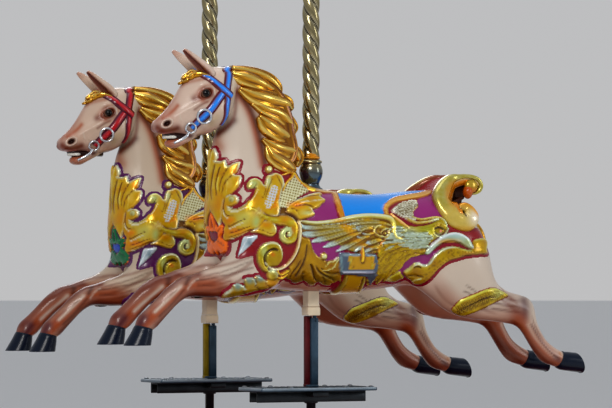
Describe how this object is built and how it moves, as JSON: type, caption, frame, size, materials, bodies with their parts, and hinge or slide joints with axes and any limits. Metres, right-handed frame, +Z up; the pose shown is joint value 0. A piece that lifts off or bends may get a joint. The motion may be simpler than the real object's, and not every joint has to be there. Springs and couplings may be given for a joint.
{
  "type": "carousel platform bay with two galloping horses",
  "caption": "Sector of a fairground galloper carousel: carved leaping horses abreast on twisted brass poles with steps below, over a boarded platform.",
  "frame": {"origin": "centre of the bay's overall box in plan, on the underside of the platform frame", "axes": "+Z up, -X the way the horses face, +Y towards the middle of the ride"},
  "size_m": [3.1058, 1.7982, 2.504],
  "materials": {
    "brass": "polished, aged in the grooves",
    "bridle_middle": "gloss paint",
    "bridle_outer": "gloss paint",
    "carving": "gilt and painted carving",
    "coat": "gloss varnish over airbrushed paint",
    "cream": "gloss paint",
    "deck": "painted boards",
    "hair": "gilt under varnish",
    "nosing": "gloss paint",
    "seat": "gloss paint",
    "steel": "painted",
    "timber": "bare"
  },
  "bodies": {
    "platform": {"deck_inner": "deck", "deck_middle": "deck", "deck_outer": "deck", "guide_socket_middle": "steel", "guide_socket_outer": "steel", "joist_left": "timber", "joist_middle_left": "timber", "joist_middle_right": "timber", "joist_right": "timber", "nosing_inner": "nosing", "nosing_outer": "nosing"},
    "outer_horse": {"outer_belly_collar": "cream", "outer_body": "coat", "outer_bridle": "bridle_outer", "outer_cantle_scroll": "carving", "outer_carving_near": "carving", "outer_carving_off": "carving", "outer_drop_post": "steel", "outer_foreleg_near": "coat", "outer_foreleg_off": "coat", "outer_head": "coat", "outer_hindleg_near": "coat", "outer_hindleg_off": "coat", "outer_mane": "hair", "outer_pole_collar": "brass", "outer_pole_hanger": "steel", "outer_pole_sleeve": "brass", "outer_seat": "seat", "outer_step_channel": "steel", "outer_step_plate": "steel", "outer_tail": "hair"},
    "middle_horse": {"middle_belly_collar": "cream", "middle_body": "coat", "middle_bridle": "bridle_middle", "middle_cantle_scroll": "carving", "middle_carving_near": "carving", "middle_carving_off": "carving", "middle_drop_post": "steel", "middle_foreleg_near": "coat", "middle_foreleg_off": "coat", "middle_head": "coat", "middle_hindleg_near": "coat", "middle_hindleg_off": "coat", "middle_mane": "hair", "middle_pole_collar": "brass", "middle_pole_hanger": "steel", "middle_pole_sleeve": "brass", "middle_seat": "seat", "middle_step_channel": "steel", "middle_step_plate": "steel", "middle_tail": "hair"}
  },
  "joints": [
    {"name": "outer_gallop", "type": "slide", "parent": "platform", "child": "outer_horse", "axis": [0, 0, 1], "range_m": [-0.13, 0.13]},
    {"name": "middle_gallop", "type": "slide", "parent": "platform", "child": "middle_horse", "axis": [0, 0, 1], "range_m": [-0.13, 0.13]}
  ]
}
